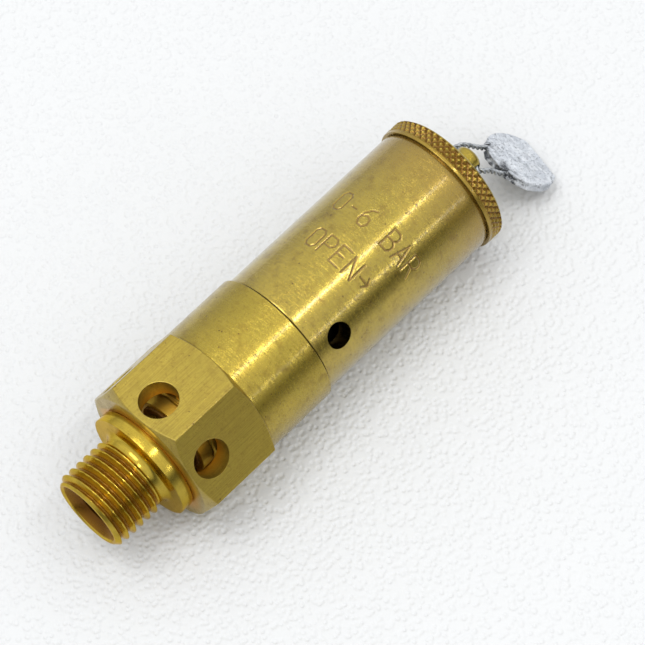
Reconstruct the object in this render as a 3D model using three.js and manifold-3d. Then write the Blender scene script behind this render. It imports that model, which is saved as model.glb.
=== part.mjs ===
import * as THREE from "three";
import { mergeVertices } from "three/addons/utils/BufferGeometryUtils.js";
import Module from "manifold-3d";

// Pressure relief valve lying on one hexagon flat. Millimetres, +Z up. The valve's axis runs along +X,
// from the inlet's mouth to the cap. Stations along the axis are measured from the mouth.
const AF = 24, APOTHEM = AF / 2, CORNER = AF / Math.sqrt(3);
const LENGTH = 98.3848;                       // mouth to the far end of the lead seal
const AXIS_Z = APOTHEM, MOUTH_X = -LENGTH / 2;

const THREAD = { r: 6.9, root: 6.0, pitch: 1.5, start: 0.35, end: 9.4 };
const BORE_R = 4, MOUTH_R = 5.7, COUNTERSINK = 1.75;
const RELIEF_R = 6.2;
const COLLAR = { x0: 11, x1: 13.05, r: 9.6 };
const HEX = { x0: 13.4, x1: 28.15 };
const SHOULDER_X = 41.05;
const CHAMBER = { x0: 14.9, x1: 26.8, r: 8.6 };
const SEAT = { x: 17.7, r: 4.9, base: 5.9 };
const OUTLET = { x: 17.75, r: 3.15, count: 6 };
const SOCKET_R = 9.6;                       // bore that takes the guide plate, gasket and housing spigot
const HOUSING = { x0: 41.35, x1: 76.95, r: 11.45, spigot: 9.55, bore: 8.2, x_spigot: 29.5 };
const VENT = { x: 46, r: 2.2, angle: 150 };
const CAP = { x0: 77.25, knurl0: 78.15, knurl1: 80.0, x1: 80.5, r: 11.97, hub: 8.0, hub_x: 74.9 };
const SPINDLE = { r: 2, neck: 1.5, x0: 19.4, step: 54, x1: 85.1 };
const NUT = { x0: 81.1, flange: 3, r: 2.3, x1: 86.0 };
const WIRE = { r: 0.42, hole: 0.62, x: 84.6, out: 3.0 };
const SEAL = { r: 6.5, t: 1.9, crop: 4.9 };

const wasm = await Module();
wasm.setup();

const BRASS = { color: 0xb9a34b, metalness: 1, roughness: 0.35 };
const STEEL = { color: 0x9a9c9e, metalness: 1, roughness: 0.4 };
const LEAD = { color: 0xa9adb3, metalness: 0.6, roughness: 0.7 };
const RUBBER = { color: 0x23252a, metalness: 0, roughness: 0.8 };
const PTFE = { color: 0xe6e4dc, metalness: 0, roughness: 0.6 };

const valve = new THREE.Group();
valve.position.set(MOUTH_X, 0, AXIS_Z);

function addPart(name, geometry, finish, parent = valve) {
  const mesh = new THREE.Mesh(geometry, new THREE.MeshStandardMaterial(finish));
  mesh.name = name;
  parent.add(mesh);
  return mesh;
}

// Joining and cutting.
function toSolid(geometry) {
  const g = geometry.clone();
  g.deleteAttribute("normal");
  g.deleteAttribute("uv");
  const m = mergeVertices(g, 1e-4);
  return new wasm.Manifold(new wasm.Mesh({
    numProp: 3,
    vertProperties: new Float32Array(m.attributes.position.array),
    triVerts: new Uint32Array(m.index.array),
  }));
}

function toGeometry(solid) {
  const m = solid.getMesh();
  const position = new Float32Array(m.numVert * 3);
  for (let i = 0; i < m.numVert; i++)
    position.set(m.vertProperties.subarray(i * m.numProp, i * m.numProp + 3), i * 3);
  const g = new THREE.BufferGeometry();
  g.setAttribute("position", new THREE.BufferAttribute(position, 3));
  g.setIndex(new THREE.BufferAttribute(new Uint32Array(m.triVerts), 1));
  return g.toNonIndexed();
}

const cut = (base, ...tools) =>
  toGeometry(tools.reduce((s, t) => s.subtract(toSolid(t)), toSolid(base)));

// A turned piece: profile points are [station, radius], in order along the outside from the inlet end.
function turned(profile, segments = 40) {
  const points = profile.map(([x, r]) => new THREE.Vector2(r, x));
  const last = points.length - 1;
  if (points[0].x > 1e-6 || points[last].x > 1e-6) points.push(points[0].clone());
  const g = new THREE.LatheGeometry(points, segments);
  g.rotateX(Math.PI / 2);                   // lathe axis Y to Z, seam down
  g.rotateY(Math.PI / 2);                   // then Z to X
  return g;
}

const ring = (x0, x1, inner, outer, segments = 24) =>
  turned([[x0, inner], [x0, outer], [x1, outer], [x1, inner]], segments);

const rod = (x0, x1, r, segments = 32) => turned([[x0, 0], [x0, r], [x1, r], [x1, 0]], segments);

// A radial drill at a station, pointing away from the axis at an angle from +Y in the YZ plane.
function drill(x, r, angle, from, to, segments = 24) {
  const g = new THREE.CylinderGeometry(r, r, to - from, segments);
  g.translate(0, (from + to) / 2, 0);
  g.rotateX(THREE.MathUtils.degToRad(angle));
  g.translate(x, 0, 0);
  return g;
}

// A closed skin over a height field: radius(x, angle) between two stations, capped at both ends.
function skin(stations, segments, radius) {
  const position = [], index = [];
  for (const x of stations)
    for (let j = 0; j < segments; j++) {
      const a = (j / segments) * 2 * Math.PI, r = radius(x, a, j);
      position.push(x, r * Math.cos(a), r * Math.sin(a));
    }
  const at = (i, j) => i * segments + (j % segments);
  for (let i = 0; i + 1 < stations.length; i++)
    for (let j = 0; j < segments; j++)
      index.push(at(i, j), at(i, j + 1), at(i + 1, j),
        at(i, j + 1), at(i + 1, j + 1), at(i + 1, j));
  const low = position.length / 3, high = low + 1;
  position.push(stations[0], 0, 0, stations[stations.length - 1], 0, 0);
  for (let j = 0; j < segments; j++) {
    index.push(low, at(0, j + 1), at(0, j));
    index.push(high, at(stations.length - 1, j), at(stations.length - 1, j + 1));
  }
  const g = new THREE.BufferGeometry();
  g.setAttribute("position", new THREE.Float32BufferAttribute(position, 3));
  g.setIndex(index);
  return g;
}

// Right-hand thread: truncated crests, bevelled first turn, running out into the relief.
function threadSkin() {
  const { r, root, pitch, start, end } = THREAD, steps = 5;
  const stations = [0];
  for (let x = start; x < end - 0.01; x += pitch / steps) stations.push(x);
  stations.push(end, end + 0.35);
  return skin(stations, 36, (x, a) => {
    if (x <= 0) return root;
    if (x >= end) return RELIEF_R - 0.02;
    const phase = ((x + 0.5 - pitch * (a / (2 * Math.PI) - 1 / 3)) / pitch) % 1;
    const wave = Math.min(1, Math.max(0, 1.35 - 3.1 * Math.abs(((phase + 1) % 1) - 0.5)));
    const bevel = Math.min(1, (x + 0.25) / 1.2);
    return root + (r - root) * wave * bevel;
  });
}

// Hexagon with a 30 degree chamfer turned on both ends, one flat facing down.
function hexagon() {
  const prism = new THREE.CylinderGeometry(CORNER, CORNER, HEX.x1 - HEX.x0, 6);
  prism.rotateZ(-Math.PI / 2);              // axis to +X, corners on +-Y
  const corner = new THREE.Box3().setFromBufferAttribute(prism.attributes.position).max.z;
  if (corner > APOTHEM + 0.1) prism.rotateX(Math.PI / 6);
  prism.translate((HEX.x0 + HEX.x1) / 2, 0, 0);
  const rise = (CORNER + 0.2 - APOTHEM) * Math.tan(Math.PI / 6);
  const blank = turned([
    [HEX.x0 - 1, 0], [HEX.x0 - 1, APOTHEM - 0.15 - Math.sqrt(3)],
    [HEX.x0 + rise, CORNER + 0.2 - 0.15], [HEX.x1 - rise, CORNER + 0.2 - 0.15],
    [HEX.x1 + 1, APOTHEM - 0.15 - Math.sqrt(3)], [HEX.x1 + 1, 0],
  ], 48);
  return toSolid(prism).intersect(toSolid(blank));
}

function valveBody() {
  const fillet = [];
  for (let i = 0; i <= 4; i++) {
    const t = (i / 4) * (Math.PI / 2), f = 1.15;
    fillet.push([COLLAR.x0 - f + f * Math.sin(t), RELIEF_R + f - f * Math.cos(t)]);
  }
  const outside = turned([
    [THREAD.end, 0], [THREAD.end, RELIEF_R], ...fillet,
    [COLLAR.x0, COLLAR.r - 0.1], [COLLAR.x0 + 0.1, COLLAR.r], [COLLAR.x1 - 0.1, COLLAR.r],
    [COLLAR.x1, COLLAR.r - 0.1], [COLLAR.x1, 9.1], [HEX.x0 + 0.5, 9.1], [HEX.x0 + 0.5, 0],
  ]);
  const shoulder = rod(HEX.x1 - 4, SHOULDER_X, APOTHEM, 48);
  let solid = toSolid(threadSkin()).add(toSolid(outside)).add(hexagon()).add(toSolid(shoulder));
  const inside = turned([
    [-1, 0], [-1, MOUTH_R + 1], [0, MOUTH_R], [COUNTERSINK, BORE_R], [CHAMBER.x1, BORE_R],
    [CHAMBER.x1, SOCKET_R], [SHOULDER_X + 1, SOCKET_R], [SHOULDER_X + 1, 0],
  ]);
  const annulus = turned([
    [CHAMBER.x0, SEAT.base], [SEAT.x - 0.6, SEAT.r + 0.25], [SEAT.x, SEAT.r], [SEAT.x, BORE_R - 1],
    [CHAMBER.x1 + 1, BORE_R - 1], [CHAMBER.x1 + 1, CHAMBER.r], [CHAMBER.x0, CHAMBER.r],
  ].reverse());
  solid = solid.subtract(toSolid(inside)).subtract(toSolid(annulus));
  for (let i = 0; i < OUTLET.count; i++)
    solid = solid.subtract(toSolid(drill(OUTLET.x, OUTLET.r, 30 + i * 60, SEAT.base + 0.4, AF)));
  return toGeometry(solid);
}

addPart("valve_body", valveBody(), BRASS);

addPart("guide_plate", ring(CHAMBER.x1 + 0.05, CHAMBER.x1 + 2, SPINDLE.r + 0.06, SOCKET_R - 0.06), BRASS);
addPart("housing_gasket",
  ring(CHAMBER.x1 + 2.05, HOUSING.x_spigot - 0.05, HOUSING.bore + 0.2, SOCKET_R - 0.1), PTFE);

addPart("spring_housing", cut(
  turned([
    [HOUSING.x_spigot, HOUSING.bore], [HOUSING.x_spigot, HOUSING.spigot], [HOUSING.x0, HOUSING.spigot],
    [HOUSING.x0, HOUSING.r - 0.12], [HOUSING.x0 + 0.12, HOUSING.r], [HOUSING.x1 - 0.2, HOUSING.r],
    [HOUSING.x1, HOUSING.r - 0.2], [HOUSING.x1, HOUSING.bore],
  ], 48),
  drill(VENT.x, VENT.r, VENT.angle, HOUSING.bore - 2, HOUSING.r + 2)), BRASS);

// Spring, plates and adjusting screw inside the housing.
const COIL = { x0: 33, x1: 60.7, r: 6.1, wire: 0.85, turns: 7 };
class Helix extends THREE.Curve {
  getPoint(t) {
    const a = t * COIL.turns * 2 * Math.PI, end = COIL.wire + 0.08;
    const x = COIL.x0 + end + (COIL.x1 - COIL.x0 - 2 * end) * t;
    return new THREE.Vector3(x, COIL.r * Math.cos(a), COIL.r * Math.sin(a));
  }
}
const wireSection = new THREE.Shape(new THREE.Path().absarc(0, 0, COIL.wire, 0, 2 * Math.PI).getPoints(3));
addPart("spring", new THREE.ExtrudeGeometry(wireSection, {
  steps: COIL.turns * 12, extrudePath: new Helix(), bevelEnabled: false,
}), STEEL);

addPart("upper_spring_plate", turned([
  [58.9, 1.6], [58.9, 4.9], [60.75, 4.9], [60.75, 7.6], [62.1, 7.6], [62.1, 1.6],
]), STEEL);
addPart("thrust_washer", ring(62.15, 62.95, 1.62, 4.2), STEEL);
addPart("adjusting_screw", cut(
  turned([
    [63, 3.1], [63, HOUSING.bore - 0.5], [63.5, HOUSING.bore - 0.06], [69.5, HOUSING.bore - 0.06],
    [70, HOUSING.bore - 0.5], [70, 3.1],
  ]),
  new THREE.BoxGeometry(1.6, 14, 1.6).translate(69.6, 0, 0)), BRASS);
addPart("guide_bush", ring(63.3, 68.6, 1.56, 3.05, 24), PTFE);
addPart("lock_nut", cut(
  turned([
    [70.3, 3.6], [70.3, HOUSING.bore - 0.06], [72.6, HOUSING.bore - 0.06], [73, HOUSING.bore - 0.5],
    [73, 3.6],
  ]),
  new THREE.BoxGeometry(1.6, 18, 1.8).translate(72.6, 0, 0)), BRASS);

// Moving spindle with the disc holder and its seat disc.
addPart("spindle", cut(
  turned([
    [SPINDLE.x0, 0], [SPINDLE.x0, SPINDLE.r], [SPINDLE.step, SPINDLE.r],
    [SPINDLE.step + 0.5, SPINDLE.neck], [SPINDLE.x1 - 0.2, SPINDLE.neck], [SPINDLE.x1, SPINDLE.neck - 0.2],
    [SPINDLE.x1, 0],
  ], 24),
  drill(22, 0.55, 0, -4, 4, 12), drill(WIRE.x, WIRE.hole, 0, -4, 4, 16)), STEEL);
addPart("disc_holder", cut(
  turned([
    [SEAT.x + 0.4, 0], [SEAT.x + 0.4, 6.7], [SEAT.x + 0.7, 7], [22.2, 7], [22.5, 6.7],
    [22.5, 3.9], [23.4, 3.9], [23.4, 0],
  ], 48),
  rod(SEAT.x - 1, SEAT.x + 1.6, 6.05), rod(SPINDLE.x0 - 0.1, 30, SPINDLE.r + 0.05, 24),
  rod(15, 30, 0.9, 16), drill(22, 0.55, 0, -9, 9, 12)), BRASS);
addPart("seat_disc", ring(SEAT.x + 0.03, SEAT.x + 1.55, 1.3, 6), RUBBER);
addPart("retaining_washer", ring(SEAT.x - 0.65, SEAT.x - 0.03, 1.0, 3.2, 24), BRASS);
addPart("retaining_screw", turned([
  [SEAT.x - 2.3, 0], [SEAT.x - 2.3, 1.5], [SEAT.x - 2, 1.9], [SEAT.x - 0.7, 1.9],
  [SEAT.x - 0.7, 0.85], [SPINDLE.x0 - 0.1, 0.85], [SPINDLE.x0 - 0.1, 0],
], 16), STEEL);
addPart("spindle_pin", drill(22, 0.5, 0, -6.6, 6.6, 12), STEEL);
addPart("spring_clip", ring(29.4, 30.3, SPINDLE.r + 0.05, 3.6), STEEL);
addPart("lower_spring_plate", turned([
  [30.35, SPINDLE.r + 0.05], [30.35, 7.6], [32.95, 7.6], [32.95, 4.9], [34.8, 4.9],
  [34.8, SPINDLE.r + 0.05],
]), STEEL);

const dome = [0.2, 0.5, 0.8, 1].map((t) =>
  [NUT.x1 - 0.9 + 0.9 * Math.sin(t * Math.PI / 2), NUT.r - 1.5 * (1 - Math.cos(t * Math.PI / 2))]);
addPart("cap_nut", cut(
  turned([
    [NUT.x0, SPINDLE.neck + 0.05], [NUT.x0, NUT.flange], [NUT.x0 + 0.9, NUT.flange],
    [NUT.x0 + 0.9, NUT.r], ...dome, [NUT.x1, 0], [SPINDLE.x1 + 0.1, 0],
    [SPINDLE.x1 + 0.1, SPINDLE.neck + 0.05],
  ], 32),
  drill(WIRE.x, WIRE.hole, 0, -4, 4, 16)), BRASS);

// Lifting cap with a diamond knurl, and the washer it lifts the spindle by.
function liftingCap() {
  const rows = [0, 0.25, 0.5, 0.75, 1].map((t) => CAP.knurl0 + t * (CAP.knurl1 - CAP.knurl0));
  const stations = [CAP.x0, CAP.x0 + 0.15, CAP.knurl0 - 0.05, ...rows, CAP.knurl1 + 0.12, CAP.x1];
  const blank = skin(stations, 80, (x, a, j) => {
    const row = rows.findIndex((v) => Math.abs(v - x) < 1e-6);
    if (row >= 0) return CAP.r - ((row + j) % 2 ? 0.22 : 0);
    if (x <= CAP.x0) return CAP.r - 0.15;
    if (x >= CAP.x1) return CAP.r - 0.75;
    return x < CAP.knurl0 ? CAP.r - 0.05 : CAP.r - 0.3;
  });
  const hub = rod(CAP.hub_x, CAP.x0 + 0.5, CAP.hub, 48);
  const well = rod(CAP.hub_x - 1, CAP.x0 + 1.2, CAP.hub - 2, 32);
  return toGeometry(toSolid(blank).add(toSolid(hub)).subtract(toSolid(well))
    .subtract(toSolid(rod(70, 90, 1.65, 24))));
}
addPart("lifting_cap", liftingCap(), BRASS);
addPart("lift_washer", ring(CAP.x1 + 0.03, NUT.x0 - 0.05, 1.6, 3.4, 24), STEEL);

// Lead seal: a pressed disc with one cropped edge, tipped over towards the floor, and its two wire holes.
const sealNormal = new THREE.Vector3(0.643, -0.134, 0.754).normalize();
const sealCrop = new THREE.Vector3(0.7285, -0.198, -0.656);
sealCrop.addScaledVector(sealNormal, -sealCrop.dot(sealNormal)).normalize();
const sealSide = new THREE.Vector3().crossVectors(sealNormal, sealCrop);
const sealFrame = new THREE.Matrix4().makeBasis(sealCrop, sealSide, sealNormal);
const sealCentre = new THREE.Vector3(93.2, -2.9, -7.72);
const onSeal = (x, y, z = 0) => new THREE.Vector3(x, y, z).applyMatrix4(sealFrame).add(sealCentre);

const sealHoles = [3.6, -2.65].map((y) => ({ y, edge: -Math.sqrt(SEAL.r ** 2 - y ** 2) }));
function leadSeal() {
  const disc = new THREE.CylinderGeometry(SEAL.r, SEAL.r, SEAL.t, 40).rotateX(Math.PI / 2);
  const keep = new THREE.BoxGeometry(20, 20, 10).translate(SEAL.crop - 10, 0, 0);
  let solid = toSolid(disc).intersect(toSolid(keep));
  for (const { y, edge } of sealHoles) {
    const hole = new THREE.CylinderGeometry(WIRE.hole, WIRE.hole, 6, 12).rotateZ(Math.PI / 2);
    solid = solid.subtract(toSolid(hole.translate(edge - 0.2, y, 0)));
  }
  return toGeometry(solid).applyMatrix4(sealFrame).translate(sealCentre.x, sealCentre.y, sealCentre.z);
}
addPart("lead_seal", leadSeal(), LEAD);

// Sealing wire: one stiff length through the cap nut's cross hole, both ends pressed into the seal.
const [far, near] = sealHoles;
const route = new THREE.CatmullRomCurve3([
  onSeal(far.edge + 1.6, far.y), onSeal(far.edge - 0.8, far.y),
  new THREE.Vector3(86.6, WIRE.out + 0.1, -0.9), new THREE.Vector3(WIRE.x, WIRE.out, 0),
  new THREE.Vector3(WIRE.x, 1.6, 0), new THREE.Vector3(WIRE.x, -1.6, 0),
  new THREE.Vector3(WIRE.x, -WIRE.out, 0), new THREE.Vector3(86.2, -WIRE.out - 0.5, -1.3),
  onSeal(near.edge - 0.8, near.y), onSeal(near.edge + 1.6, near.y),
], false, "centripetal");
const section = new THREE.Shape(new THREE.Path().absarc(0, 0, WIRE.r, 0, 2 * Math.PI).getPoints(4));
addPart("sealing_wire", new THREE.ExtrudeGeometry(section, {
  steps: 56, extrudePath: route, bevelEnabled: false,
}), STEEL);

const group = new THREE.Group();
group.add(valve);
export default group;
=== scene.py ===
"""Pressure relief valve: the visual model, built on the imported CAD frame.

Pieces are made in millimetres in the valve's own frame, where x is the station along the axis from the
inlet's mouth and angles run from +Y towards +Z, then set in the row frame in metres.
"""
import math

import bmesh
import bpy
import numpy as np
from mathutils import Matrix, Vector, noise


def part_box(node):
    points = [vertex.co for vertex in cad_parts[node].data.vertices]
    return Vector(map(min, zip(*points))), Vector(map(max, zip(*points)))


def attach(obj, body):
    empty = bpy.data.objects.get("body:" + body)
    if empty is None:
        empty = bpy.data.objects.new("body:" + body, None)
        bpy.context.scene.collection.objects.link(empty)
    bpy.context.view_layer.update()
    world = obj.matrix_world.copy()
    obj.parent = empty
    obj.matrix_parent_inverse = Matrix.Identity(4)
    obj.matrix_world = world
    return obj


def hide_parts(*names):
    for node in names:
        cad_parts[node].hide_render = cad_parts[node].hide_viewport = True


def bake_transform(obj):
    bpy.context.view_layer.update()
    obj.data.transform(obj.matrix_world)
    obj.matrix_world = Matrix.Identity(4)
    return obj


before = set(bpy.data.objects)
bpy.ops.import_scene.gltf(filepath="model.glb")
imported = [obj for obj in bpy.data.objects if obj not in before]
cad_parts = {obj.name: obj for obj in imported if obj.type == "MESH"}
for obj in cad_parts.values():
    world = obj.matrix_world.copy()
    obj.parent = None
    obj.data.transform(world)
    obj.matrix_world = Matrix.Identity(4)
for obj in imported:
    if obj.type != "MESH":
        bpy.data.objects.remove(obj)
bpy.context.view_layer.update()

MM = 0.001
TINY = 1e-6


def turn(degrees):
    return math.radians(degrees)


# -------------------- driving sizes, from the frame
body_low, body_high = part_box("valve_body")
MOUTH = body_low[0]
APOTHEM = (body_high[2] - body_low[2]) / 2 / MM
CORNER = APOTHEM / math.cos(turn(30))
AXIS_Z = (body_high[2] + body_low[2]) / 2
VALVE_FRAME = Matrix.Translation((MOUTH, 0, AXIS_Z)) @ Matrix.Scale(MM, 4)


def reach(node):
    """(first station, last station, outer radius) of a turned CAD node, in millimetres."""
    low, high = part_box(node)
    return (low[0] - MOUTH) / MM, (high[0] - MOUTH) / MM, (high[2] - low[2]) / 2 / MM


SHOULDER_END = reach("valve_body")[1]
THREAD_R, THREAD_ROOT, PITCH, THREAD_END = 6.9, 6.0, 1.5, 9.4
THREAD_ROW = 0.06  # space between the mesh rows of the thread
BORE_R, MOUTH_R, COUNTERSINK = 4.0, 5.6, 1.75
RELIEF_R, FILLET = 6.2, 1.15
COLLAR_0, COLLAR_1, COLLAR_R, GROOVE_R = 11.0, 13.05, 9.6, 9.1
HEX_0, HEX_1 = 13.4, 28.15
CHAMBER_0, CHAMBER_1, CHAMBER_R = 14.9, 26.8, 8.6
SEAT_X, SEAT_R, SEAT_BASE = 17.7, 4.9, 5.9
OUTLET_X, OUTLET_R, OUTLETS = 17.75, 3.15, 6
SOCKET_R = 9.6
SPIGOT_0, HOUSING_1, SPIGOT_R = reach("spring_housing")[0], reach("spring_housing")[1], 9.55
HOUSING_0, HOUSING_R, HOUSING_BORE = 41.35, 11.45, 8.2
VENT_X, VENT_R, VENT_ANGLE = 46.0, 2.2, 150
CAP_0, CAP_1, CAP_R = 77.25, reach("lifting_cap")[1], 11.97
CAP_HUB_X, CAP_HUB_R, CAP_WELL_R, CAP_HOLE = reach("lifting_cap")[0], 8.0, 6.0, 1.65
KNURL_0, KNURL_1, KNURL_DEPTH, KNURL_COUNT, KNURL_PITCH = 77.9, 80.05, 0.36, 56, 1.32
SPINDLE_R, NECK_R, SPINDLE_STEP = 2.0, 1.5, 54.0
PIN_X, PIN_R, PIN_HOLE, PIN_REACH = 22.0, 0.5, 0.55, 6.6
RECESS_R, SOCKET_X, SCREW_HOLE_R = 6.05, 19.3, 0.9
SPRING_SPIGOT = 4.9
SCREW_0, SCREW_1, LOCK_0, LOCK_1, SLOT_DEEP = 63.0, 70.0, 70.3, 73.0, 1.6
NUT_0, NUT_1 = reach("cap_nut")[:2]
NUT_FLANGE, NUT_R, NUT_BORE_END = 3.0, 2.3, 85.2
WIRE_R, WIRE_HOLE, WIRE_X, WIRE_OUT = 0.42, 0.62, 84.6, 3.0
SEAL_R, SEAL_T, SEAL_CROP = 6.5, 1.9, 4.9


# -------------------- mesh helpers
def eased(outline, ease, steps=3):
    """The outline with its corners rounded by about ease; points on the axis stay."""
    rounded = []
    for i, (x, r) in enumerate(outline):
        here = Vector((x, r))
        before, after = Vector(outline[i - 1]) - here, Vector(outline[(i + 1) % len(outline)]) - here
        straight = before.length < TINY or after.length < TINY or before.angle(after) > turn(165)
        if r < TINY or straight or not ease:
            rounded.append((x, r))
            continue
        start = here + before.normalized() * min(ease, 0.45 * before.length)
        end = here + after.normalized() * min(ease, 0.45 * after.length)
        for k in range(steps + 1):
            t = k / steps
            spot = start * (1 - t) ** 2 + here * 2 * t * (1 - t) + end * t * t
            rounded.append((spot.x, spot.y))
    return rounded


def arc(x, r, radius, start, end, steps=8):
    """Outline points round (x, r), at angles from the axis direction, in degrees."""
    turns = [turn(start + (end - start) * k / steps) for k in range(steps + 1)]
    return [(x + radius * math.cos(a), r + radius * math.sin(a)) for a in turns]


def link(name, data):
    made = bpy.data.objects.new(name, data)
    bpy.context.scene.collection.objects.link(made)
    return made


def as_mesh(work, name):
    """A new mesh from a bmesh, which is freed."""
    mesh = bpy.data.meshes.new(name)
    work.to_mesh(mesh)
    work.free()
    return mesh


def formed(name, verts, faces):
    """A closed solid from points and faces, with every face looking outwards."""
    mesh = bpy.data.meshes.new(name)
    mesh.from_pydata(verts, [], faces)
    work = bmesh.new()
    work.from_mesh(mesh)
    bmesh.ops.recalc_face_normals(work, faces=work.faces)
    work.to_mesh(mesh)
    work.free()
    return link(name, mesh)


def set_grime_and_shade(mesh, values):
    """Stores how much grime and painted shade each point has, which the materials read."""
    kept = mesh.attributes.get("grime_and_shade") or mesh.attributes.new("grime_and_shade", "FLOAT", "POINT")
    kept.data.foreach_set("value", values)


def cone(around, radius_low, radius_high, depth):
    """A closed cone or cylinder along Z, as a bmesh."""
    work = bmesh.new()
    bmesh.ops.create_cone(work, cap_ends=True, segments=around, radius1=radius_low, radius2=radius_high,
                          depth=depth)
    return work


def turned(name, outline, around=128, ease=0.0, relief=None):
    """A solid turned about the valve's axis from an outline of (station, radius).

    An outline that starts and ends on the axis is closed there, any other is a ring. around is a count or a
    list of angles. relief(stations, radii, angles) gives new radii and how much grime and painted shade each
    point has.
    """
    line = np.array(eased(outline, ease), float)
    on_axis = line[0, 1] < TINY and line[-1, 1] < TINY
    body = line[1:-1] if on_axis else line
    angles = np.linspace(0, 2 * math.pi, around, endpoint=False) if isinstance(around, int) else around
    stations = np.repeat(body[:, :1], len(angles), axis=1)
    radii = np.repeat(body[:, 1:], len(angles), axis=1)
    grime_and_shade = np.zeros_like(radii)
    if relief:
        radii, grime_and_shade = relief(stations, radii, angles[None, :])
    verts = np.stack([stations, radii * np.cos(angles), radii * np.sin(angles)], -1).reshape(-1, 3).tolist()
    ring = np.arange(radii.size).reshape(radii.shape)
    rows = len(body) - 1 if on_axis else len(body)
    here, there = ring[:rows], np.roll(ring, -1, axis=0)[:rows]
    quads = np.stack([here, np.roll(here, -1, 1), np.roll(there, -1, 1), there], -1)
    faces = quads.reshape(-1, 4).tolist()
    grime_and_shade = grime_and_shade.reshape(-1).tolist()
    if on_axis:
        for end, row in ((0, ring[0]), (-1, ring[-1])):
            verts.append((line[end, 0], 0, 0))
            grime_and_shade.append(0)
            faces += [(len(verts) - 1, int(a), int(b)) for a, b in zip(row, np.roll(row, -1), strict=True)]
    made = formed(name, verts, faces)
    set_grime_and_shade(made.data, grime_and_shade)
    return made


def rod(name, x0, x1, radius, around=32, ease=0.0):
    """A plain round rod along the axis."""
    return turned(name, [(x0, 0), (x0, radius), (x1, radius), (x1, 0)], around, ease)


def drill(x, radius, angle, near, far, around=64):
    """A radial cutter at a station, pointing away from the axis."""
    mesh = as_mesh(cone(around, radius, radius, far - near), "cutter")
    mesh.transform(Matrix.Translation((0, 0, (near + far) / 2)))
    mesh.transform(Matrix.Translation((x, 0, 0)) @ Matrix.Rotation(turn(angle - 90), 4, "X"))
    return link("cutter", mesh)


def block(x, size):
    """A box cutter centred on the axis at a station."""
    work = bmesh.new()
    bmesh.ops.create_cube(work, matrix=Matrix.Translation((x, 0, 0)) @ Matrix.Diagonal((*size, 1)))
    return link("cutter", as_mesh(work, "cutter"))


def settle(made):
    """Turns the object's modifiers into its mesh."""
    bpy.context.view_layer.update()
    mesh = bpy.data.meshes.new_from_object(made.evaluated_get(bpy.context.evaluated_depsgraph_get()))
    made.modifiers.clear()
    made.data = mesh
    return made


def combine(made, others, operation="DIFFERENCE"):
    """Cuts others from made, or keeps what they share, and removes them."""
    for other in others:
        step = made.modifiers.new("combine", "BOOLEAN")
        step.operation, step.solver, step.object = operation, "EXACT", other
    settle(made)
    for other in others:
        bpy.data.objects.remove(other)
    return made


def bevelled(made, width, segments=2, angle=28):
    """Breaks the sharp edges, as a tumbled or deburred edge is."""
    edge = made.modifiers.new("edges", "BEVEL")
    edge.width, edge.segments, edge.limit_method, edge.angle_limit = width, segments, "ANGLE", turn(angle)
    edge.use_clamp_overlap = False
    edge.miter_outer = "MITER_ARC"
    return settle(made)


def walls(rows, around, first=0):
    """Quads between rows of points that run round a form."""
    faces = []
    for i in range(rows - 1):
        for k in range(around):
            a, b = first + i * around + k, first + i * around + (k + 1) % around
            faces.append((a, b, b + around, a + around))
    return faces


def tube(name, routes, radius, sides=14):
    """Round wires along routes of points, with flat ends, as one mesh."""
    verts, faces = [], []
    for route in routes:
        route = [Vector(p) for p in route]
        up = Vector((0.3, 0.2, 1)).normalized()
        first = len(verts)
        for i, spot in enumerate(route):
            along = (route[min(i + 1, len(route) - 1)] - route[max(i - 1, 0)]).normalized()
            up = (up - along * up.dot(along)).normalized()
            side = along.cross(up)
            for k in range(sides):
                a = 2 * math.pi * k / sides
                verts.append(spot + (up * math.cos(a) + side * math.sin(a)) * radius)
        faces += walls(len(route), sides, first)
        faces.append(tuple(range(first, first + sides)))
        faces.append(tuple(range(len(verts) - sides, len(verts))))
    return formed(name, verts, faces)


def clamped(value):
    return min(1.0, max(0.0, value))


def smooth_step(low, high, value):
    """0 before low, 1 after high and smooth between them. low may be the greater."""
    t = np.clip((value - low) / (high - low), 0, 1)
    return t * t * (3 - 2 * t)


def finish_piece(made, body, nodes, material, weighted=True, sharp=36):
    """Sets a piece in the row frame with its shading, material, body and the CAD nodes it stands for.

    body is a body's name, or (body, station, body, station), for which the piece is only fixed where it
    stands and hangs from no body.
    sharp is the least angle of a sharp edge, in degrees."""
    made.data.transform(VALVE_FRAME)
    made.data.shade_smooth()
    made.data.set_sharp_from_angle(angle=turn(sharp))
    if weighted:
        made.modifiers.new("flat faces", "WEIGHTED_NORMAL").keep_sharp = True
    made.data.materials.clear()
    made.data.materials.append(material)
    if isinstance(body, str):
        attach(made, body)
    else:
        first, start, second, end = body
        start, end = [VALVE_FRAME @ Vector((station, 0, 0)) for station in (start, end)]
        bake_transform(made)
    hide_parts(*nodes)
    return made


def ring(name, node, inner, body, slot, material, around=96, ease=0.12):
    """A plain ring, as long and as wide as its CAD node."""
    x0, x1, outer = reach(node)
    made = turned(name, [(x0, outer), (x1, outer), (x1, inner), (x0, inner)], around, ease)
    return finish_piece(made, body, [node], material)


# -------------------- materials
SKIN_R = 12.0  # radius at which lengths round the axis are measured
# The second colour is the darkest grime, and it also stands for painted shade deep in bores, thread valleys
# and grooves.
PIT, DEEP_GRIME_AND_SHADE = (0.1, 0.05, 0.012, 1), (0.12, 0.045, 0.003, 1)
LEAD, LEAD_GREY, LEAD_WORN = (0.66, 0.69, 0.735, 1), (0.49, 0.52, 0.57, 1), (0.8, 0.82, 0.86, 1)
LEAD_CREASE, LEAD_PIT, LEAD_DIRT_AND_SHADE = (0.2, 0.21, 0.235, 1), (0.16, 0.17, 0.19, 1), (0.05, 0.055, 0.065, 1)


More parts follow.
